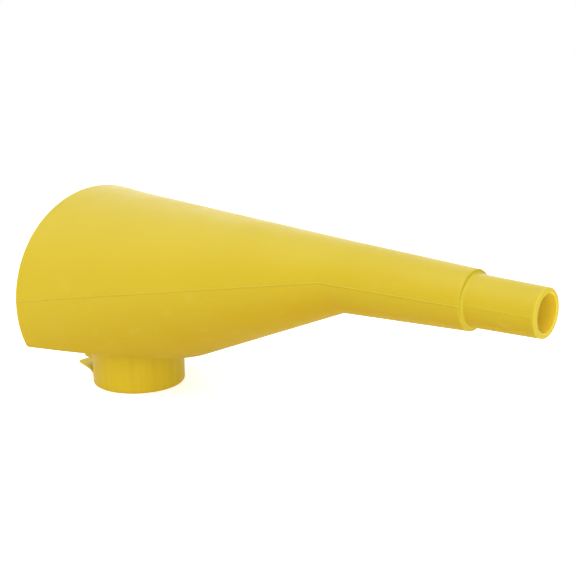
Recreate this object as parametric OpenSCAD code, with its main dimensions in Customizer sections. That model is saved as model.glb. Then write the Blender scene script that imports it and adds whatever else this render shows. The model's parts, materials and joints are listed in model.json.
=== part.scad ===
// Offset pouring funnel that sits over the spout of a fuel safety can.
// A wide cone with an upright open mouth narrows into a level neck and a stepped nozzle tip.
// A short round collar under the flat floor of the cone slides over the spout of the can,
// and a sprung tab at the back of the collar holds it there.
// Origin: centre of the collar's lower rim. +X points to the nozzle, +Z is up.

/* [Cone] */
// Upright plane of the open mouth, along X
mouth_x = -32.8; // [-40:0.1:-32.5]
// Where the cone's axis meets the neck's axis, along X
bend_x = 165.5; // [155:0.1:175]
// Height of the neck's axis
axis_z = 92.8; // [88:0.1:97]
// Rise of the cone's axis towards the nozzle, in degrees
cone_rise = 9.7; // [8:0.1:11]
// Radius gained per millimetre along the cone's axis
cone_slope = 0.23; // [0.2:0.005:0.25]
// Radius of the sphere that the cone and the neck both touch at the bend
bend_r = 18.6; // [18:0.1:20]
// Length of the wider band at the mouth
flare_len = 34; // [20:1:50]
// Extra radius at the mouth
flare_out = 1.1; // [0.5:0.1:2]
// Wall thickness of the cone and its floor
wall = 2.2; // [1.8:0.1:2.6]

/* [Neck] */
// Length of the neck from the bend to its lip
neck_len = 77.4; // [60:0.1:85]
// Radius lost per millimetre along the neck
neck_slope = 0.055; // [0.03:0.005:0.06]
// Step down from the cone to the neck at the bend
bend_step = 0.1; // [0.1:0.05:0.3]
// Wall thickness of the neck, a little more than the cone's
neck_wall = 2.5; // [2.4:0.1:2.8]
// Chamfer on the edge of the neck's lip
lip_edge = 0.5; // [0.3:0.1:0.8]

/* [Nozzle tip] */
// Outer radius of the tip where it leaves the neck
tip_root_r = 12.4; // [12.3:0.1:12.8]
// Outer radius of the tip at its open end
tip_end_r = 11.3; // [11:0.1:12]
// Length of the tip outside the neck
tip_len = 35.1; // [30:0.1:50]
// Radius of the tip's bore
tip_bore_r = 8.8; // [7.5:0.1:9]
// Radius of the rounded outer edge at the tip's open end
tip_round = 1; // [0.6:0.1:1.2]
// Chamfer on the bore at the tip's open end
tip_bore_edge = 0.4; // [0.2:0.1:0.4]
// Length of the plug that sits inside the neck
plug_len = 18; // [12:1:24]
// Outer radius of the plug
plug_r = 12.2; // [12:0.1:12.3]
// Radius of the hole through the plug
plug_bore_r = 9.5; // [9:0.1:9.8]

/* [Collar] */
// Outer radius of the collar
collar_r = 29.3; // [28.5:0.1:29.8]
// Radius of the bore that slides over the can's spout
collar_bore_r = 26.9; // [26:0.1:27.2]
// Height of the cone's flat floor above the collar's rim
floor_z = 28.2; // [26:0.1:30]
// Chamfer on the outer edge of the rim and at the top of the bore
rim_edge = 0.6; // [0.3:0.1:0.8]
// Radius of the hole in the floor, a little wider than the bore
floor_hole_r = 27.9; // [27.6:0.1:28.2]
// Half width of the box-shaped guard behind the collar
guard_half = 19.5; // [18:0.5:21]
// Wall thickness of the guard
guard_wall = 2; // [1.6:0.1:2.4]
// How far the guard's rear face sits in front of the mouth
guard_inset = 0.4; // [0.2:0.1:1]
// Height of the guard's lower edge
guard_low = 13.5; // [13:0.1:16]
// Height over which the guard's rear wall leans in at the bottom
guard_lean = 2.2; // [2:0.1:5]

/* [Latch tab] */
// Half width of the window cut in the collar for the tab's stem
window_half = 8.4; // [7:0.1:9]
// Height of the window's sill
window_low = 4.6; // [4.2:0.1:5]
// Height of the window's top
window_high = 13; // [12:0.1:13.2]
// Half length of the hinge bead
bead_half = 4.4; // [3:0.1:4.5]
// Radius of the hinge bead
bead_r = 0.8; // [0.7:0.05:0.85]
// Thickness of the stem between the bead and the finger plate
stem_thick = 1.4; // [1.2:0.1:1.6]
// Distance of the finger edge behind the collar's axis
tab_reach = 39; // [36:0.1:40]
// Height of the finger edge's underside
tab_edge_z = 7.8; // [7.6:0.1:9]
// Slope of the finger plate, in degrees
tab_slope = 10.5; // [8:0.5:12]
// Distance behind the collar's axis at which the plate bends down beside the collar
tab_knee = 25.5; // [24:0.1:26]
// Slope of the plate between the knee and the collar, in degrees
tab_root_slope = 42; // [35:1:45]
// Thickness of the finger plate
tab_thick = 1.8; // [1.2:0.1:1.8]

/* [Hidden] */
$fn = 64;
plastic = [0.86, 0.74, 0.2];
// Larger than any outline, for solids that only cut away one side of something
far = 400;
// How far a cutting solid runs past the face that it cuts
over = 1;
// How far the cone and the neck run on past the bend before they are mitred
past_bend = 24;
// Gap left around pieces that move past each other
move_gap = 0.45;
// Radial play of the hinge bead in its groove
bead_play = 0.06;
// Gap of a glued or welded socket
glue_gap = 0.03;
cone_half = atan(cone_slope);
neck_half = atan(neck_slope);
neck_end_x = bend_x + neck_len;
neck_end_r = (bend_r - bend_step) / cos(neck_half) - neck_slope * neck_len;
mouth_back = (bend_x - mouth_x) / cos(cone_rise);
bead_x = -(collar_r + collar_bore_r) / 2;
guard_back = -mouth_x - guard_inset - guard_wall;

// Everything above or below the joint of the shells, which runs along the cone's axis and then
// along the neck's. side is 1 for above and -1 for below.
module joint_side(side) {
  rise = far * tan(cone_rise);
  translate([bend_x, far / 2, axis_z])
    rotate([90, 0, 0])
      linear_extrude(height = far)
        polygon([[-far, -rise], [0, 0], [far, 0], [far, side * far], [-far, side * far]]);
}

// Everything on the cone's side of the mitre where the cone and the neck meet. Both touch one
// sphere of radius bend_r, so their surfaces meet in a flat cut.
module cone_side() {
  x = cos(cone_rise) / cos(cone_half) + 1 / cos(neck_half);
  z = sin(cone_rise) / cos(cone_half);
  reach = bend_r * (cone_slope + neck_slope) / norm([x, z]);
  translate([bend_x, 0, axis_z])
    rotate([0, -atan2(z, x), 0])
      translate([reach - far, -far / 2, -far / 2])
        cube([far, far, far]);
}

// The cone with its wider band at the mouth, inset by a wall thickness.
module cone_body(inset) {
  r = bend_r - inset;
  root_r = r / cos(cone_half);
  far_s = mouth_back + flare_len;
  band_s = mouth_back - flare_len;
  band_slope = cone_slope + flare_out / flare_len;
  band_r = root_r + cone_slope * band_s;
  intersection() {
    translate([bend_x, 0, axis_z])
      rotate([0, -90 - cone_rise, 0])
        rotate_extrude()
          polygon([
            [0, -past_bend],
            [root_r - cone_slope * past_bend, -past_bend],
            [band_r, band_s],
            [band_r + band_slope * (far_s - band_s), far_s],
            [0, far_s]
          ]);
    cone_side();
  }
}

// The level neck, inset by a wall thickness. The half turn keeps its start line on top.
module neck_body(inset, end_x) {
  root_r = (bend_r - bend_step - inset) / cos(neck_half);
  back = past_bend / 2;
  difference() {
    translate([bend_x - back, 0, axis_z])
      rotate([0, 90, 0])
        rotate([0, 0, 180])
          cylinder(
            h = end_x - bend_x + back,
            r1 = root_r + neck_slope * back,
            r2 = root_r - neck_slope * (end_x - bend_x)
          );
    cone_side();
  }
}

// Keeps what is in front of the mouth and above the floor.
module trim_box(back_x, floor_level) {
  translate([back_x, -far / 2, floor_level])
    cube([far, far, far]);
}

module neck_lip_cut() {
  translate([neck_end_x, 0, axis_z])
    rotate([0, 90, 0])
      rotate_extrude()
        polygon([
          [neck_end_r - lip_edge, over],
          [neck_end_r - lip_edge, 0],
          [neck_end_r + neck_slope * lip_edge, -lip_edge],
          [neck_end_r + over, -lip_edge],
          [neck_end_r + over, over]
        ]);
}

module tip_socket() {
  translate([neck_end_x - plug_len, 0, axis_z])
    rotate([0, 90, 0])
      cylinder(h = plug_len + over, r = plug_r + glue_gap);
}

// One half of the shell: the solid form cut at the joint, then hollowed.
module half_shell(side) {
  color(plastic)
    difference() {
      intersection() {
        union() {
          cone_body(0);
          neck_body(0, neck_end_x);
        }
        joint_side(side);
        trim_box(mouth_x, floor_z);
      }
      intersection() {
        union() {
          cone_body(wall);
          neck_body(neck_wall, neck_end_x - plug_len + over);
        }
        trim_box(mouth_x - over, floor_z + wall);
      }
      neck_lip_cut();
      tip_socket();
      cylinder(h = floor_z + wall + over, r = floor_hole_r);
    }
}

module upper_shell() {
  half_shell(1);
}

module lower_shell() {
  half_shell(-1);
}

// Stepped outlet tube: a plug inside the neck, then a tapered tip with a rounded end.
module nozzle_tip() {
  color(plastic)
    translate([neck_end_x, 0, axis_z])
      rotate([0, 90, 0])
        rotate_extrude() {
          polygon([
            [tip_bore_r, 0],
            [plug_bore_r, tip_bore_r - plug_bore_r],
            [plug_bore_r, -plug_len],
            [plug_r, -plug_len],
            [plug_r, 0],
            [tip_root_r, 0],
            [tip_end_r, tip_len - tip_round],
            [tip_end_r - tip_round, tip_len],
            [tip_bore_r + tip_bore_edge, tip_len],
            [tip_bore_r, tip_len - tip_bore_edge]
          ]);
          translate([tip_end_r - tip_round, tip_len - tip_round])
            intersection() {
              circle(r = tip_round);
              square(tip_round);
            }
        }
}

// Upright outline of the guard behind the collar, seen from the side, grown inwards by inset.
module guard_side(inset) {
  lean_top = guard_low + guard_lean;
  polygon([
    [0, guard_low - inset],
    [-guard_back + inset, guard_low - inset],
    [-guard_back - guard_wall + inset, lean_top],
    [-guard_back - guard_wall + inset, floor_z],
    [0, floor_z]
  ]);
}

module guard_block(half, inset) {
  translate([0, half, 0])
    rotate([90, 0, 0])
      linear_extrude(height = 2 * half)
        guard_side(inset);
}

// Round collar with the guard and the window for the latch tab.
module spout_collar() {
  color(plastic)
    difference() {
      union() {
        rotate_extrude()
          polygon([
            [collar_bore_r, 0],
            [collar_r - rim_edge, 0],
            [collar_r, rim_edge],
            [collar_r, floor_z],
            [collar_bore_r + rim_edge, floor_z],
            [collar_bore_r, floor_z - rim_edge]
          ]);
        difference() {
          guard_block(guard_half, 0);
          guard_block(guard_half - guard_wall, guard_wall);
          cylinder(h = floor_z, r = collar_r - over);
        }
      }
      translate([-collar_r - over, -window_half, window_low])
        cube([collar_r, 2 * window_half, window_high - window_low]);
      translate([bead_x, bead_half + move_gap, window_low])
        rotate([90, 0, 0])
          cylinder(h = 2 * (bead_half + move_gap), r = bead_r + bead_play);
    }
}

// Height of the finger plate's underside at a distance behind the collar's axis.
function tab_z(reach) =
  reach > tab_knee
  ? tab_edge_z - (tab_reach - reach) * tan(tab_slope)
  : tab_edge_z - (tab_reach - tab_knee) * tan(tab_slope) - (tab_knee - reach) * tan(tab_root_slope);

// Finger plate from a distance behind the collar's axis out to the finger edge.
module tab_plate(root, half) {
  reaches = root < tab_knee ? [root, tab_knee, tab_reach] : [root, tab_reach];
  under = [for (reach = reaches) [-reach, tab_z(reach)]];
  above = [for (i = [len(reaches) - 1:-1:0]) [-reaches[i], tab_z(reaches[i]) + tab_thick]];
  translate([0, half, 0])
    rotate([90, 0, 0])
      linear_extrude(height = 2 * half)
        polygon(concat(under, above));
}

// Finger plate behind the collar, on a stem that turns on a bead in the window's sill.
module latch_tab() {
  stem_top = window_high - move_gap;
  side_root = collar_r * cos(asin(guard_half / collar_r)) - over;
  color(plastic) {
    translate([bead_x, bead_half, window_low])
      rotate([90, 0, 0])
        cylinder(h = 2 * bead_half, r = bead_r);
    translate([bead_x - stem_thick / 2, -bead_half, window_low])
      cube([stem_thick, 2 * bead_half, stem_top - window_low]);
    difference() {
      tab_plate(side_root, guard_half);
      cylinder(h = floor_z, r = collar_r + move_gap);
    }
    tab_plate(-bead_x - stem_thick / 2, window_half - move_gap);
  }
}

upper_shell();
lower_shell();
nozzle_tip();
spout_collar();
latch_tab();
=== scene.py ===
"""Looks of an offset funnel for a fuel safety can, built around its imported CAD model.

Lengths are metres, +Z is up and +X points to the nozzle. The shells, the nozzle tip, the collar
and the latch tab are each one closed mesh that stands for the CAD node of the same name.
"""

import json
import math

import bmesh
import bpy
import numpy as np
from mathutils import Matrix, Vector


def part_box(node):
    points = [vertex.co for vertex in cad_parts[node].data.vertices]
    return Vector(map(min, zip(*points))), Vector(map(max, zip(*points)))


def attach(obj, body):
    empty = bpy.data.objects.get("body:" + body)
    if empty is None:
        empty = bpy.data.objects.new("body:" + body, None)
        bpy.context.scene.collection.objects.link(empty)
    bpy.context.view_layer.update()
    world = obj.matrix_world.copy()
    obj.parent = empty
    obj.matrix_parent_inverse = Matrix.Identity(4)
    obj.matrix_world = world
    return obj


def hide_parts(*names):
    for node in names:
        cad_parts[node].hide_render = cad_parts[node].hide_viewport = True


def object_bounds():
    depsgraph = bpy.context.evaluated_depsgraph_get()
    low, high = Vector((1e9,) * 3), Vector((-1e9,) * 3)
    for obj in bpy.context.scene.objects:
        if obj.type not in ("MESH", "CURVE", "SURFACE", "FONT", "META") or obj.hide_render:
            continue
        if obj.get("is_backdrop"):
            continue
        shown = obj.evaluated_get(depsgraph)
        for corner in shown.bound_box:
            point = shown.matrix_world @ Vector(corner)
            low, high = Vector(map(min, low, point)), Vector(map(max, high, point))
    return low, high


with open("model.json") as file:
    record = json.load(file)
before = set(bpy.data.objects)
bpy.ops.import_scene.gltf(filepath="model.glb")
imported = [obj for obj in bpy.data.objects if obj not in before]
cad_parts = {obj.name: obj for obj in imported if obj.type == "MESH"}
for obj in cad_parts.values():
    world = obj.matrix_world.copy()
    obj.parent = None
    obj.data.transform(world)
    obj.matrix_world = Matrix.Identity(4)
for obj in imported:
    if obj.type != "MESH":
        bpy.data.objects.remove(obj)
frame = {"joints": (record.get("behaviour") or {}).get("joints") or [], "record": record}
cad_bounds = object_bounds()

MM = 0.001

# ---------------------------------------------------------------- sizes taken from the frame
mounts = {mount["name"]: mount for mount in frame["record"]["mounts"]}
shell_low, shell_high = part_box("upper_shell")
collar_low, collar_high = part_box("spout_collar")
tip_low, tip_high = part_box("nozzle_tip")
tab_low, tab_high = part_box("latch_tab")
mouth_x = shell_low.x
neck_end_x = shell_high.x
floor_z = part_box("lower_shell")[0].z
axis_z = mounts["outlet_bore"]["pos_m"][2]
tip_bore_r = mounts["outlet_bore"]["dims"]["r_mm"] * MM
collar_bore_r = mounts["can_spout_bore"]["dims"]["r_mm"] * MM
collar_r = collar_high.x
tip_root_r = tip_high.y
tip_end_x = tip_high.x
plug_start_x = tip_low.x
tab_half = tab_high.y
hinge = Vector(next(joint["pos_m"] for joint in frame["joints"] if joint["name"] == "latch_flex"))

# ---------------------------------------------------------------- form of the pieces
bend_x = 165.5 * MM
cone_rise = math.radians(9.7)
cone_slope = 0.23
bend_r = 18.6 * MM
flare_len = 34 * MM
flare_out = 1.1 * MM
wall = 2.2 * MM
neck_slope = 0.055
lip_r = 0.5 * MM
floor_edge_r = 2.2 * MM
pad_end_x = 46.5 * MM
pad_step = 0.4 * MM
bend_blend = 1.3 * MM
plug_r = 12.2 * MM
socket_r = plug_r + 0.03 * MM
floor_hole_r = 27.9 * MM
weld_gap = 0.02 * MM
tab_thick = 1.8 * MM

cone_half = math.atan(cone_slope)
neck_half = math.atan(neck_slope)
cone_root_r = bend_r / math.cos(cone_half)
neck_root_r = bend_r / math.cos(neck_half)
band_start = (bend_x - mouth_x) / math.cos(cone_rise) - flare_len

# Seam: arc lengths from the joint where columns of the mesh stand, and the form of its raised bead
seam_arcs = np.array([0, 0.12, 0.25, 0.4, 0.55, 0.7, 0.85, 1.0, 1.2]) * MM
bead_height = 0.26 * MM
bead_centre = 0.5 * MM
bead_half_width = 0.5 * MM
joint_chamfer = 0.02 * MM


def soft_ramp(t, softness=0.12):
    """Near 0 below t = 0 and near t above it, with a soft knee between, and exactly 1 at t = 1."""
    ramp = (t + np.sqrt(t * t + softness)) / 2
    return ramp / ((1 + math.sqrt(1 + softness)) / 2)


def smooth_max(a, b, radius):
    """The larger of two distances, with the edge between them rounded."""
    near = np.clip(radius - np.abs(a - b), 0, None)
    return np.maximum(a, b) + near * near / (4 * radius)


def cone_radius(along):
    """Radius of the cone at a distance back along its axis from the bend, with the mouth's flare."""
    return cone_root_r + cone_slope * along + flare_out * soft_ramp((along - band_start) / flare_len)


def centre_height(x):
    """Height of the centre line: the cone's axis, then the neck's."""
    return axis_z + np.minimum(0, x - bend_x) * math.tan(cone_rise)


def shell_field(x, y, z):
    """Distance outside the cone, the neck and the flat floor, negative inside."""
    along = (bend_x - x) * math.cos(cone_rise) - (z - axis_z) * math.sin(cone_rise)
    reach = (x - bend_x) ** 2 + y**2 + (z - axis_z) ** 2
    across = np.sqrt(np.maximum(reach - along**2, 0))
    cone = (across - cone_radius(along)) * math.cos(cone_half)
    neck_r = neck_root_r - neck_slope * (x - bend_x)
    neck = (np.hypot(y, z - axis_z) - neck_r) * math.cos(neck_half)
    past_pad = np.clip((x - pad_end_x) / MM, 0, 1)
    return smooth_max(np.minimum(cone, neck), floor_z - pad_step * past_pad - z, floor_edge_r)


def ray_points(x, depth, angle):
    """Where rays from the centre line at angle reach depth under the outer surface."""
    longest_ray, halvings = 90 * MM, 30
    centre = centre_height(x)
    low = np.zeros_like(angle)
    high = np.full_like(angle, longest_ray)
    for _ in range(halvings):
        middle = (low + high) / 2
        outside = shell_field(x, middle * np.cos(angle), centre + middle * np.sin(angle)) > -depth
        high = np.where(outside, middle, high)
        low = np.where(outside, low, middle)
    return high * np.cos(angle), centre + high * np.sin(angle)


def wall_points(x, depth, angle):
    """ray_points averaged over a short stretch along X, which rounds the crease at the bend."""
    samples = 7
    shifts = np.linspace(-1, 1, samples) * bend_blend
    found = [ray_points(x + shift, depth, angle) for shift in shifts]
    return np.mean([y for y, z in found], axis=0), np.mean([z for y, z in found], axis=0)


def floor_edge_angle(x):
    """Angle below level at which a ray meets the edge of the flat floor."""
    steepest = math.radians(84)
    drop = floor_z - axis_z
    along = (bend_x - x) * math.cos(cone_rise) - drop * math.sin(cone_rise)
    normal = (bend_x - x) * math.sin(cone_rise) + drop * math.cos(cone_rise)
    half_width = np.sqrt(np.maximum(cone_radius(along) ** 2 - normal**2, 0))
    angle = np.arctan2(centre_height(x) - floor_z, half_width)
    return np.minimum(angle, steepest)


# ---------------------------------------------------------------- mesh helpers
def grid_mesh(name, points, closed_rows=False, closed_columns=False, ladder=False):
    """Mesh of quads over points[row, column]. ladder closes the two end columns of a loop of rows,
    whose second half runs back beside its first half."""
    rows, columns = points.shape[:2]
    mesh = bmesh.new()
    verts = [mesh.verts.new(p) for p in points.reshape(-1, 3)]

    def vert(row, column):
        return verts[(row % rows) * columns + column % columns]

    for i in range(rows if closed_rows else rows - 1):
        for j in range(columns if closed_columns else columns - 1):
            mesh.faces.new((vert(i, j), vert(i + 1, j), vert(i + 1, j + 1), vert(i, j + 1)))
    if ladder:
        for column in (0, columns - 1):
            for i in range(rows // 2 - 1):
                back = rows - 1 - i
                corners = (vert(i, column), vert(i + 1, column), vert(back - 1, column), vert(back, column))
                mesh.faces.new(corners)
    return finish_mesh(name, mesh)


def finish_mesh(name, mesh):
    bmesh.ops.recalc_face_normals(mesh, faces=mesh.faces)
    data = bpy.data.meshes.new(name)
    mesh.to_mesh(data)
    mesh.free()
    piece = bpy.data.objects.new(name, data)
    bpy.context.scene.collection.objects.link(piece)
    return piece


def apply_modifiers(piece):
    """Replaces the piece's mesh by what its modifiers make of it."""
    shape = piece.evaluated_get(bpy.context.evaluated_depsgraph_get())
    data = bpy.data.meshes.new_from_object(shape)
    piece.modifiers.clear()
    piece.data = data


def combine(piece, tool, operation):
    """Cuts the tool from the piece, or joins it to the piece, as exact solids."""
    modifier = piece.modifiers.new(operation.lower(), "BOOLEAN")
    modifier.operation = operation
    modifier.object = tool
    modifier.solver = "EXACT"
    apply_modifiers(piece)
    bpy.data.objects.remove(tool)


def shade(piece, sharp_angle=38):
    """Smooth shading, with edges left sharp where faces meet at more than sharp_angle degrees."""
    merge_distance, sliver = 0.002 * MM, 0.001 * MM
    mesh = bmesh.new()
    mesh.from_mesh(piece.data)
    bmesh.ops.remove_doubles(mesh, verts=mesh.verts, dist=merge_distance)
    bmesh.ops.dissolve_degenerate(mesh, dist=sliver, edges=mesh.edges)
    limit = math.radians(sharp_angle)
    for face in mesh.faces:
        face.smooth = True
    for edge in mesh.edges:
        edge.smooth = len(edge.link_faces) == 2 and edge.calc_face_angle() < limit
    mesh.to_mesh(piece.data)
    mesh.free()


def arc(centre, radius, start, end, count):
    """Points of an arc in a plane, from start to end in degrees."""
    turns = np.radians(np.linspace(start, end, count))
    return [(centre[0] + radius * math.cos(t), centre[1] + radius * math.sin(t)) for t in turns]


def revolve(name, profile, angles, place, lift=None):
    """Closed ring from a closed profile of (distance along the axis, radius)."""
    points = np.zeros((len(profile), len(angles), 3))
    for i, (along, radius) in enumerate(profile):
        for j, angle in enumerate(angles):
            raised = radius + (lift(along, angle) if lift else 0)
            points[i, j] = place(along, raised * math.cos(angle), raised * math.sin(angle))
    return grid_mesh(name, points, closed_rows=True, closed_columns=True)


# ---------------------------------------------------------------- shells
def wall_stations():
    """Stations along X shared by the outer and inner surface, and the outer ones at the neck's end."""
    cone_step, bend_step, neck_step = 2.5 * MM, 0.9 * MM, 3 * MM
    main = np.concatenate([
        mouth_x + wall / 2 + np.array([0, 0.4, 1, 2]) * MM,
        np.arange(mouth_x + 5 * MM, bend_x - 8 * MM, cone_step),
        np.arange(bend_x - 7.5 * MM, bend_x + 12 * MM, bend_step),
        np.arange(bend_x + 13 * MM, plug_start_x - MM, neck_step),
        [plug_start_x],
    ])
    tail = np.arange(plug_start_x + neck_step, neck_end_x - lip_r, neck_step)
    return main, tail


def shell_columns(x, low_half):
    """Angles of one half of a shell's section, from the joint to the middle, at each x."""
    crowding = 1.8
    upper_steps, side_steps, under_steps = 27, 31, 15
    joint_y, joint_z = ray_points(x, np.zeros_like(x), np.zeros_like(x))
    joint_r = np.hypot(joint_y, joint_z - centre_height(x))
    seam = seam_arcs[None, :] / joint_r[:, None]
    if not low_half:
        side = np.linspace(0, 1, upper_steps)[1:]
        return np.hstack([seam, seam[:, -1:] + (math.pi / 2 - seam[:, -1:]) * side])
    edge = floor_edge_angle(x)[:, None]
    side = 1 - (1 - np.linspace(0, 1, side_steps)[1:]) ** crowding
    under = np.linspace(0, 1, under_steps)[1:] ** crowding
    sides = seam[:, -1:] + (edge - seam[:, -1:]) * side
    floors = edge + (math.pi / 2 - edge) * under
    return -np.hstack([seam, sides, floors])


def shell(name, low_half):
    """One half of the hopper and neck: outer skin, inner skin, mouth rim, lip and socket."""
    main, tail = wall_stations()
    rim = np.radians(90 - (np.arange(6) + 0.5) * 15)
    rim_x = mouth_x + wall / 2 * (1 - np.sin(rim))
    rim_depth = wall / 2 * (1 - np.cos(rim))
    lip = np.radians(np.linspace(0, 90, 7))
    lip_x = neck_end_x - lip_r + lip_r * np.sin(lip)
    lip_depth = lip_r * (1 - np.cos(lip))
    outer_x = np.concatenate([rim_x, main, tail, lip_x])
    outer_depth = np.concatenate([rim_depth, 0 * main, 0 * tail, lip_depth])
    inner_x = np.concatenate([rim_x, main])
    inner_depth = np.concatenate([wall - rim_depth, 0 * main + wall])

    def skin(x, depth, outside):
        """Points of one skin at each x, with the seam's bead on the outer one, and their angles."""
        half = shell_columns(x, low_half)
        turn = -math.pi if low_half else math.pi
        angle = np.hstack([half, turn - half[:, -2::-1]])
        lift = np.zeros(half.shape[1])
        count = len(seam_arcs)
        if low_half:
            t = np.clip((seam_arcs - bead_centre) / bead_half_width, -1, 1)
            lift[:count] = bead_height * (1 + np.cos(math.pi * t)) / 2
        else:
            lift[:count] = -np.clip(joint_chamfer - seam_arcs, 0, None)
        lift = np.concatenate([lift, lift[-2::-1]])
        fade = np.clip(1 - depth / (wall / 2), 0, 1) if outside else 0 * depth
        sunk = depth[:, None] - fade[:, None] * lift[None, :]
        y, z = wall_points(x[:, None] + 0 * angle, sunk, angle)
        return np.stack([x[:, None] + 0 * angle, y, z], axis=-1), angle

    outer, outer_angle = skin(outer_x, outer_depth, True)
    inner, _ = skin(inner_x, inner_depth, False)
    tail_count = len(tail) + len(lip_x)
    socket_x = np.linspace(plug_start_x, neck_end_x, tail_count)
    angle = outer_angle[-tail_count:]
    socket = np.stack([
        socket_x[:, None] + 0 * angle,
        socket_r * np.cos(angle),
        axis_z + socket_r * np.sin(angle),
    ], axis=-1)
    back = np.concatenate([inner, socket])
    loop = np.concatenate([outer, back[::-1]])
    return grid_mesh(name, loop, closed_rows=True, ladder=True)


def cylinder_tool(radius, low, high, count=160):
    """Plain solid cylinder on the Z axis, used only to cut with."""
    mesh = bmesh.new()
    bmesh.ops.create_cone(
        mesh, cap_ends=True, segments=count, radius1=radius, radius2=radius, depth=high - low
    )
    bmesh.ops.translate(mesh, verts=mesh.verts, vec=(0, 0, (low + high) / 2))
    return finish_mesh("cutter", mesh)


def build_upper_shell():
    return shell("upper_shell_skin", False)


def build_lower_shell():
    piece = shell("lower_shell_skin", True)
    combine(piece, cylinder_tool(floor_hole_r, floor_z - MM, floor_z + wall + MM), "DIFFERENCE")
    return piece


# ---------------------------------------------------------------- nozzle tip
def seam_angles(radius, count=72):
    """Angles all round, with extra ones beside the two seams on the sides."""
    margin = 1.3
    near = np.array([0.2, 0.4, 0.6, 0.8, 1.0]) * MM / radius
    extra = np.concatenate([[0], near, -near])
    even = np.linspace(0, 2 * math.pi, count, endpoint=False)
    even = even[np.abs(np.sin(even)) > math.sin(near[-1]) * margin]
    return np.sort(np.concatenate([even, extra % (2 * math.pi), extra + math.pi]))


def build_nozzle_tip():
    """Plug, root fillet, tapered tip, and a rounded open end with a rounded bore edge."""
    end_round, bore_round = 0.8 * MM, 0.5 * MM
    root_fillet = 1.1 * MM
    plug_bore_r = 9.5 * MM
    sunk = 0.02 * MM
    bead, bead_width, bead_fade = 0.13 * MM, 0.6 * MM, 2 * MM
    root = neck_end_x - sunk
    tip_end_r = 11.3 * MM
    round_x = tip_end_x - end_round
    fillet = [
        (root + root_fillet * (1 - math.cos(t)), tip_root_r + root_fillet * (1 - math.sin(t)))
        for t in np.radians(np.linspace(0, 90, 5))
    ]
    straight = [
        (x, tip_root_r + (tip_end_r - tip_root_r) * (x - neck_end_x) / (round_x - neck_end_x))
        for x in np.linspace(neck_end_x + 2 * MM, round_x - MM, 12)
    ]
    end = arc((round_x, tip_end_r - end_round), end_round, 90, 0, 12)
    end += arc((tip_end_x - bore_round, tip_bore_r + bore_round), bore_round, 0, -90, 5)
    bore_taper = tip_bore_r - plug_bore_r
    profile = [(plug_start_x, plug_r), (root, plug_r), *fillet, *straight, *end]
    profile += [(neck_end_x, tip_bore_r), (neck_end_x + bore_taper, plug_bore_r)]
    profile += [(plug_start_x, plug_bore_r)]

    def lift(x, angle):
        """Height of the raised seam, which fades out towards both ends."""
        from_seam = abs(math.asin(max(-1, min(1, math.sin(angle))))) * tip_root_r
        after_root = max(0, (x - neck_end_x - MM) / bead_fade)
        before_end = max(0, (round_x - x) / bead_fade)
        return bead * min(1, after_root, before_end) * max(0, 1 - (from_seam / bead_width) ** 2)

    def place(x, y, z):
        return (x, y, axis_z + z)

    return revolve("nozzle_tip_skin", profile, seam_angles(tip_root_r), place, lift)


# ---------------------------------------------------------------- collar and guard
def guard_outline(half, back, corner, front):
    """Half of a U seen from above, from its front end to the middle of its rear wall."""
    corner_arc = arc((back + corner, half - corner), corner, 90, 180, 8)
    return [(front, half), *corner_arc, (back, (half - corner) / 2), (back, 0)]


def build_guard():
    """The box-shaped wall behind the collar: a U in plan whose rear leans in at the bottom."""
    guard_wall = 2 * MM
    outer_corner, inner_corner = 0.9 * MM, 0.4 * MM
    low, lean_top = 13.5 * MM, 15.7 * MM
    lean, lean_curve = 2 * MM, 1.4
    edge = 0.6 * MM
    into_collar = 0.9 * MM
    front = -math.sqrt(collar_r**2 - tab_half**2) + into_collar
    levels = [(low, edge), (low + edge * 0.3, edge * 0.3), (low + edge, 0)]
    levels += [(z, 0) for z in np.linspace(low + 2 * edge, floor_z - weld_gap, 7)]
    loops = []
    for z, inset in levels:
        lean_now = lean * max(0, (lean_top - z) / (lean_top - low)) ** lean_curve
        back = collar_low.x + lean_now
        outer = guard_outline(tab_half - inset, back + inset, outer_corner, front)
        inner = guard_outline(
            tab_half - guard_wall + inset, back + guard_wall - inset, inner_corner, front
        )
        outer += [(x, -y) for x, y in outer[-2::-1]]
        inner += [(x, -y) for x, y in inner[-2::-1]]
        loops.append([(x, y, z) for x, y in outer + inner[::-1]])
    points = np.array(loops).transpose(1, 0, 2)
    return grid_mesh("guard", points, closed_rows=True, ladder=True)


def box_tool(low, high):
    """Solid box, used to cut with or to join on."""
    mesh = bmesh.new()
    bmesh.ops.create_cube(mesh, size=1)
    for vert in mesh.verts:
        vert.co = Vector([(low[k] + high[k]) / 2 + vert.co[k] * (high[k] - low[k]) for k in range(3)])
    return finish_mesh("cutter", mesh)


def hinge_cylinder(name, radius, half):
    """Cylinder along Y on the hinge's axis, which reaches half to either side."""
    mesh = bmesh.new()
    bmesh.ops.create_cone(
        mesh, cap_ends=True, segments=24, radius1=radius, radius2=radius, depth=2 * half
    )
    for vert in mesh.verts:
        vert.co = Vector((vert.co.x + hinge.x, vert.co.z, vert.co.y + hinge.z))
    return finish_mesh(name, mesh)


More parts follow.
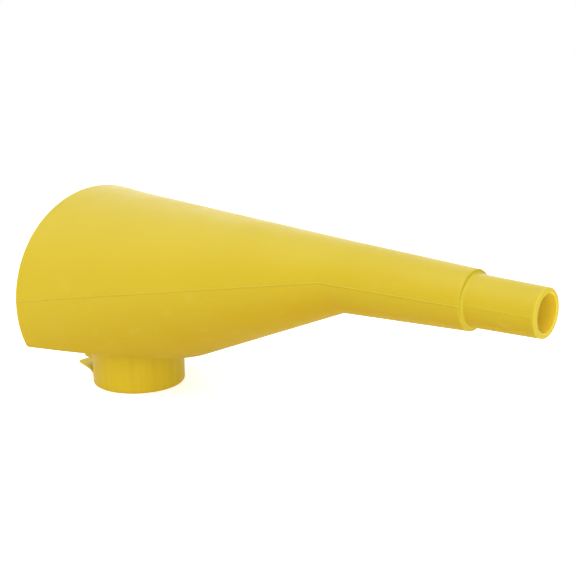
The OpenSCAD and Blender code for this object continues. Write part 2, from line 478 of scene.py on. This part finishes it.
def build_spout_collar():
    """Round collar with a round rim, joined to the guard, with the window for the tab's stem."""
    rim_outer, rim_inner = 1.7 * MM, 0.4 * MM
    draft = 0.2 * MM
    top_fillet = 0.9 * MM
    top = floor_z - weld_gap
    bore_edge = 0.6 * MM
    groove_r, groove_half = 0.86 * MM, 4.75 * MM
    window_half, window_low, window_high = 8.4 * MM, 4.6 * MM, 13.0 * MM
    window_depth = 6 * MM
    fillet = [
        (top - top_fillet * (1 - math.cos(t)), collar_r + top_fillet * (1 - math.sin(t)))
        for t in np.radians(np.linspace(0, 90, 6))
    ]
    side = [(z, collar_r - draft * (1 - z / top)) for z in np.linspace(top - 3 * MM, 3 * MM, 8)]
    outer = arc((rim_outer, collar_r - draft - rim_outer), rim_outer, 90, 180, 8)
    inner = arc((rim_inner, collar_bore_r + rim_inner), rim_inner, 180, 270, 6)
    bore = [(z, collar_bore_r) for z in np.linspace(3 * MM, top - 3 * MM, 6)]
    end = [(floor_z - bore_edge, collar_bore_r), (top, collar_bore_r + bore_edge)]
    profile = fillet + side + outer + inner + bore + end
    angles = np.linspace(0, 2 * math.pi, 160, endpoint=False)

    def place(z, x, y):
        return (x, y, z)

    piece = revolve("spout_collar_skin", profile, angles, place)
    combine(piece, build_guard(), "UNION")
    window = box_tool(
        (-collar_r - MM, -window_half, window_low),
        (-collar_bore_r + window_depth, window_half, window_high),
    )
    combine(piece, window, "DIFFERENCE")
    # Known fault: this cut removes nothing, so the tab's hinge bead sits in the solid sill.
    combine(piece, hinge_cylinder("cutter", groove_r, groove_half), "DIFFERENCE")
    return piece


# ---------------------------------------------------------------- latch tab
def tab_height(x):
    """Height of the finger plate's middle surface: nearly level, and bent down beside the collar."""
    rear_z = 7.8 * MM
    knee, softness = -25.5 * MM, 1.6 * MM
    slope, root_slope = math.tan(math.radians(10.5)), math.tan(math.radians(42))
    past = x - knee
    bent = (past + math.sqrt(past**2 + softness**2)) / 2
    return rear_z + tab_thick / 2 - (x - tab_low.x) * slope - (root_slope - slope) * bent


def build_finger_plate():
    """Thin plate with round edges, whose front edge stands just off the collar."""
    gap = 0.5 * MM
    edge = tab_thick / 2
    corner = 1.6 * MM
    flat_columns = 24
    across = np.radians(np.linspace(0, 84, 7))
    side = tab_half - edge + edge * np.sin(across)
    ys = np.concatenate([np.linspace(0, tab_half - edge, flat_columns)[:-1], side])
    thinning = np.concatenate([np.ones(flat_columns - 1), np.cos(across)])
    ys = np.concatenate([-ys[:0:-1], ys])
    thinning = np.concatenate([thinning[:0:-1], thinning])
    turn = np.radians(np.linspace(8, 90, 6))
    near_edge = edge * (1 - np.cos(turn))
    steps = np.linspace(0, 1, 14)
    under, above = [], []
    for y, thin in zip(ys, thinning):
        into = max(0, abs(y) - (tab_half - corner))
        rear = tab_low.x + corner - math.sqrt(max(0, corner**2 - into**2))
        front = -math.sqrt((collar_r + gap) ** 2 - y**2)
        inner = (1 - steps) * (front - near_edge[-1]) + steps * (rear + near_edge[-1])
        xs = np.concatenate([front - near_edge, inner[1:-1], rear + near_edge[::-1]])
        depths = np.concatenate([np.sin(turn), np.ones(len(inner) - 2), np.sin(turn)[::-1]]) * edge
        under.append([(x, y, tab_height(x) - depth * thin) for x, depth in zip(xs, depths)])
        above.append([(x, y, tab_height(x) + depth * thin) for x, depth in zip(xs, depths)])
    loop = np.concatenate([np.array(under), np.array(above)[:, ::-1]], axis=1).transpose(1, 0, 2)
    return grid_mesh("latch_tab_skin", loop, closed_rows=True, ladder=True)


def build_latch_tab():
    """Finger plate that sweeps out behind the collar, with its stem and hinge bead."""
    plate = build_finger_plate()
    bead_r, bead_half = 0.8 * MM, 4.4 * MM
    stem_thick, stem_top = 1.4 * MM, 12.5 * MM
    arm_half, arm_rear_x = 7.9 * MM, -32 * MM
    overlap = 0.05 * MM
    combine(plate, hinge_cylinder("bead", bead_r, bead_half), "UNION")
    stem = box_tool(
        (hinge.x - stem_thick / 2, -bead_half, hinge.z),
        (hinge.x + stem_thick / 2, bead_half, stem_top),
    )
    combine(plate, stem, "UNION")
    xs = np.linspace(hinge.x + stem_thick / 2, arm_rear_x, 5)
    depth = tab_thick / 2 - overlap
    loop = [(x, tab_height(x) - depth) for x in xs] + [(x, tab_height(x) + depth) for x in xs[::-1]]
    rows = np.array([[(x, y, z) for y in (-arm_half, arm_half)] for x, z in loop])
    arm = grid_mesh("arm", rows, closed_rows=True, ladder=True)
    combine(plate, arm, "UNION")
    return plate


# ---------------------------------------------------------------- material
class Plastic:
    """Satin moulded polyethylene, painted paler on top as painted light and deeper underneath as
    painted shade, with slow colour drift, faint smudges, fine texture and worn edges."""

    def __init__(self, name, tint=1.0):
        self.material = bpy.data.materials.new(name)
        self.material.use_nodes = True
        self.tree = self.material.node_tree
        shader = self.tree.nodes["Principled BSDF"]
        shader.inputs["IOR"].default_value = 1.45
        shader.inputs["Subsurface Weight"].default_value = 0.15
        shader.inputs["Subsurface Radius"].default_value = (1.0, 0.8, 0.25)
        shader.inputs["Subsurface Scale"].default_value = 1.5 * MM
        shader.inputs["Specular IOR Level"].default_value = 0.13
        self.place = self.tree.nodes.new("ShaderNodeTexCoord").outputs["Object"]
        self.geometry = self.tree.nodes.new("ShaderNodeNewGeometry")
        up = self.coordinate(self.geometry.outputs["Normal"], 2)
        self.matt_under = self.spread(up, -0.5, 0.3, 0.25, 0)
        # Painted light and shade by the way the surface faces: the top gets a paler painted highlight
        # colour and the underside a deeper painted shade amber. The pale top colour also tints the scuffs
        # and the worn edges.
        top, middle, under = (tuple(c * tint for c in colour) for colour in (lit_top_and_wear_yellow, yellow, shade_and_streak_amber))
        colours = self.mix(self.spread(up, -0.7, 0.05, 0, 1), under, middle)
        colours = self.mix(self.spread(up, 0.1, 0.9, 0, 1), colours, top)
        drift = self.spread(self.noise(scale=16, detail=3), 0.35, 0.65, 0, 0.35)
        self.colours = self.mix(drift, colours, tuple(0.94 * c for c in middle))
        scuffs = self.spread(self.noise(scale=150, detail=5, stretch=(0.5, 1, 1)), 0.6, 0.72, 0, 0.3)
        self.tint(scuffs, top)
        edges = self.spread(self.geometry.outputs["Pointiness"], 0.52, 0.6, 0, 0.5)
        self.tint(edges, tuple(1.1 * c + 0.02 for c in top))

    def link(self, value, socket):
        """Links an output to a socket, or sets the socket to a colour."""
        if isinstance(value, tuple):
            socket.default_value = (*value, 1)
        else:
            self.tree.links.new(value, socket)

    def noise(self, scale, detail, stretch=(1, 1, 1)):
        mapping = self.tree.nodes.new("ShaderNodeMapping")
        mapping.inputs["Scale"].default_value = stretch
        self.link(self.place, mapping.inputs["Vector"])
        texture = self.tree.nodes.new("ShaderNodeTexNoise")
        texture.inputs["Scale"].default_value = scale
        texture.inputs["Detail"].default_value = detail
        self.link(mapping.outputs["Vector"], texture.inputs["Vector"])
        return texture.outputs["Fac"]

    def spread(self, value, low, high, to_low, to_high):
        """Maps low to high onto to_low to to_high, and holds the ends."""
        remap = self.tree.nodes.new("ShaderNodeMapRange")
        remap.inputs["From Min"].default_value = low
        remap.inputs["From Max"].default_value = high
        remap.inputs["To Min"].default_value = to_low
        remap.inputs["To Max"].default_value = to_high
        self.link(value, remap.inputs["Value"])
        return remap.outputs["Result"]

    def coordinate(self, vector, axis):
        """One coordinate of a vector."""
        split = self.tree.nodes.new("ShaderNodeSeparateXYZ")
        self.link(vector, split.inputs["Vector"])
        return split.outputs[axis]

    def maths(self, operation, first, second):
        calculation = self.tree.nodes.new("ShaderNodeMath")
        calculation.operation = operation
        self.link(first, calculation.inputs[0])
        self.link(second, calculation.inputs[1])
        return calculation.outputs["Value"]

    def mix(self, factor, first, second):
        blend = self.tree.nodes.new("ShaderNodeMix")
        blend.data_type = "RGBA"
        self.link(factor, blend.inputs["Factor"])
        self.link(first, blend.inputs["A"])
        self.link(second, blend.inputs["B"])
        return blend.outputs["Result"]

    def tint(self, factor, colour):
        """Blends a colour over what the material has so far."""
        self.colours = self.mix(factor, self.colours, colour)

    def near_axis(self, centre, radius):
        """1 within radius of the line along X at height centre, 0 just outside it."""
        soft_edge = 0.4 * MM
        flat = self.tree.nodes.new("ShaderNodeVectorMath")
        flat.operation = "MULTIPLY_ADD"
        flat.inputs[1].default_value = (0, 1, 1)
        flat.inputs[2].default_value = (0, 0, -centre)
        self.link(self.place, flat.inputs[0])
        length = self.tree.nodes.new("ShaderNodeVectorMath")
        length.operation = "LENGTH"
        self.link(flat.outputs["Vector"], length.inputs[0])
        return self.spread(length.outputs["Value"], radius, radius + soft_edge, 1, 0)

    def near_x(self, x, reach):
        """1 at a place along X, falling to 0 at reach from it."""
        along = self.coordinate(self.place, 0)
        before = self.spread(along, x - reach, x - reach / 2, 0, 1)
        after = self.spread(along, x + reach / 2, x + reach, 1, 0)
        return self.maths("MULTIPLY", before, after)

    def finish(self):
        """Links colour, roughness and surface texture to the shader."""
        shader = self.tree.nodes["Principled BSDF"]
        self.link(self.colours, shader.inputs["Base Color"])
        satin = self.spread(self.noise(scale=45, detail=4), 0.3, 0.7, 0.36, 0.5)
        self.link(self.maths("ADD", satin, self.matt_under), shader.inputs["Roughness"])
        bump = self.tree.nodes.new("ShaderNodeBump")
        bump.inputs["Strength"].default_value = 0.12
        bump.inputs["Distance"].default_value = 0.2 * MM
        self.link(self.noise(scale=700, detail=3, stretch=(0.6, 1, 1)), bump.inputs["Height"])
        waves = self.tree.nodes.new("ShaderNodeBump")
        waves.inputs["Strength"].default_value = 0.25
        waves.inputs["Distance"].default_value = 0.6 * MM
        self.link(self.noise(scale=28, detail=2), waves.inputs["Height"])
        self.link(bump.outputs["Normal"], waves.inputs["Normal"])
        self.link(waves.outputs["Normal"], shader.inputs["Normal"])
        return self.material


# The first colour is painted light on the tops and is also used for scuffs and worn edges. The third is
# painted shade underneath and is also the base of the collar's mould streaks.
lit_top_and_wear_yellow = (0.345, 0.27, 0.024)
yellow = (0.335, 0.245, 0.009)
shade_and_streak_amber = (0.3, 0.19, 0.001)
# Painted highlight on the rounded rims at the neck's lip and at the tip's root and end.
painted_rim_highlight_yellow = (0.375, 0.292, 0.018)
# Painted light: the bore glows orange as if lit through its wall.
painted_bore_glow_orange = (0.58, 0.4, 0.022)


def shell_plastic(name):
    """The shells have a painted highlight in a pale band at the neck's lip."""
    past_lip, reach = 0.5 * MM, 0.9 * MM
    plastic = Plastic(name)
    # Painted highlight along the neck's lip.
    plastic.tint(plastic.near_x(neck_end_x + past_lip, reach), painted_rim_highlight_yellow)
    return plastic.finish()


def tip_plastic():
    """The tip has painted highlights at its root and end, and its bore is painted a brighter orange as
    painted light coming through its wall.
    """
    reach, past_bore = 1.6 * MM, 0.2 * MM
    plastic = Plastic("tip_plastic")
    # Painted highlights at the tip's root and at its end.
    plastic.tint(plastic.near_x(neck_end_x, reach), painted_rim_highlight_yellow)
    plastic.tint(plastic.near_x(tip_end_x, reach), painted_rim_highlight_yellow)
    # Painted light: a brighter orange in the bore stands for light coming through the wall.
    plastic.tint(plastic.near_axis(axis_z, tip_bore_r + past_bore), painted_bore_glow_orange)
    return plastic.finish()


def collar_plastic():
    """The collar's colours are brightened 1.28 times as painted light, and it has faint upright streaks
    from the mould.
    """
    # The tint of 1.28 is painted light that brightens the whole collar.
    plastic = Plastic("collar_plastic", tint=1.28)
    marks = plastic.spread(plastic.noise(scale=1, detail=4, stretch=(420, 420, 14)), 0.35, 0.75, 0.15, 0.6)
    plastic.tint(marks, tuple(1.25 * c for c in shade_and_streak_amber))
    return plastic.finish()


def tab_plastic():
    """The thin tab is painted the brightest piece, as painted light coming through its thin plastic."""
    # The tint of 1.4 is painted light that brightens the whole tab.
    return Plastic("tab_plastic", tint=1.4).finish()


# ---------------------------------------------------------------- stage, light and camera
look_at = Vector((0.06303, 0.07339, 0.05771))


def build_stage():
    """Pale round floor, wide enough to fill the view."""
    floor_r = 30
    mesh = bmesh.new()
    bmesh.ops.create_circle(mesh, cap_ends=True, segments=96, radius=floor_r)
    floor = finish_mesh("floor", mesh)
    paint = bpy.data.materials.new("floor_paint")
    paint.use_nodes = True
    shader = paint.node_tree.nodes["Principled BSDF"]
    shader.inputs["Base Color"].default_value = (0.8, 0.8, 0.78, 1)
    shader.inputs["Emission Color"].default_value = (1, 0.98, 0.95, 1)
    shader.inputs["Emission Strength"].default_value = 0.5
    shader.inputs["Roughness"].default_value = 0.9
    shader.inputs["Specular IOR Level"].default_value = 0.1
    floor.data.materials.append(paint)
    floor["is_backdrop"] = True


def add_light(name, kind, power, direction, size):
    """A soft light that shines on look_at from direction. size is a sun's angle in degrees, or the
    side of an area light in metres."""
    distance = 1.2
    data = bpy.data.lights.new(name, kind)
    data.energy = power
    light = bpy.data.objects.new(name, data)
    bpy.context.scene.collection.objects.link(light)
    towards = Vector(direction).normalized()
    light.location = look_at + towards * distance
    light.rotation_euler = towards.to_track_quat("Z", "Y").to_euler()
    if kind == "SUN":
        data.angle = math.radians(size)
    else:
        data.size = size


def build_light():
    """White surroundings, three broad suns and one close soft light."""
    scene = bpy.context.scene
    scene.view_settings.view_transform = "Standard"
    scene.world = bpy.data.worlds.new("studio")
    scene.world.use_nodes = True
    backdrop = scene.world.node_tree.nodes["Background"]
    backdrop.inputs["Color"].default_value = (1, 1, 1, 1)
    backdrop.inputs["Strength"].default_value = 1.0
    add_light("sky_soft", "SUN", power=1.7, direction=(-0.1, -0.35, 1), size=80)
    add_light("front_fill", "SUN", power=1.85, direction=(0.8, -0.6, 0.2), size=60)
    add_light("back_fill", "SUN", power=0.9, direction=(-0.7, 0.7, 0.35), size=60)
    add_light("key_soft", "AREA", power=5, direction=(0.1, -0.6, 1.1), size=0.7)


def build_camera():
    """Camera on the near side, off towards the nozzle, looking down a little."""
    azimuth, elevation = math.radians(42.05), math.radians(13.12)
    distance = 0.5901
    back = Vector((
        math.cos(elevation) * math.sin(azimuth),
        -math.cos(elevation) * math.cos(azimuth),
        math.sin(elevation),
    ))
    data = bpy.data.cameras.new("camera")
    data.lens = 57.1
    data.sensor_width = 36
    camera = bpy.data.objects.new("camera", data)
    bpy.context.scene.collection.objects.link(camera)
    camera.location = look_at + back * distance
    camera.rotation_euler = back.to_track_quat("Z", "Y").to_euler()
    bpy.context.scene.camera = camera


build_stage()
build_light()
build_camera()

builders = {
    "upper_shell": (build_upper_shell, shell_plastic("upper_plastic")),
    "lower_shell": (build_lower_shell, shell_plastic("lower_plastic")),
    "nozzle_tip": (build_nozzle_tip, tip_plastic()),
    "spout_collar": (build_spout_collar, collar_plastic()),
    "latch_tab": (build_latch_tab, tab_plastic()),
}
for node, (build, material) in builders.items():
    piece = build()
    shade(piece)
    piece.data.materials.clear()
    piece.data.materials.append(material)
    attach(piece, "latch" if node == "latch_tab" else "funnel")
    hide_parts(node)

boxes = {"cad": cad_bounds, "visual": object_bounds()}
{name: [list(map(float, corner)) for corner in box] for name, box in boxes.items()}
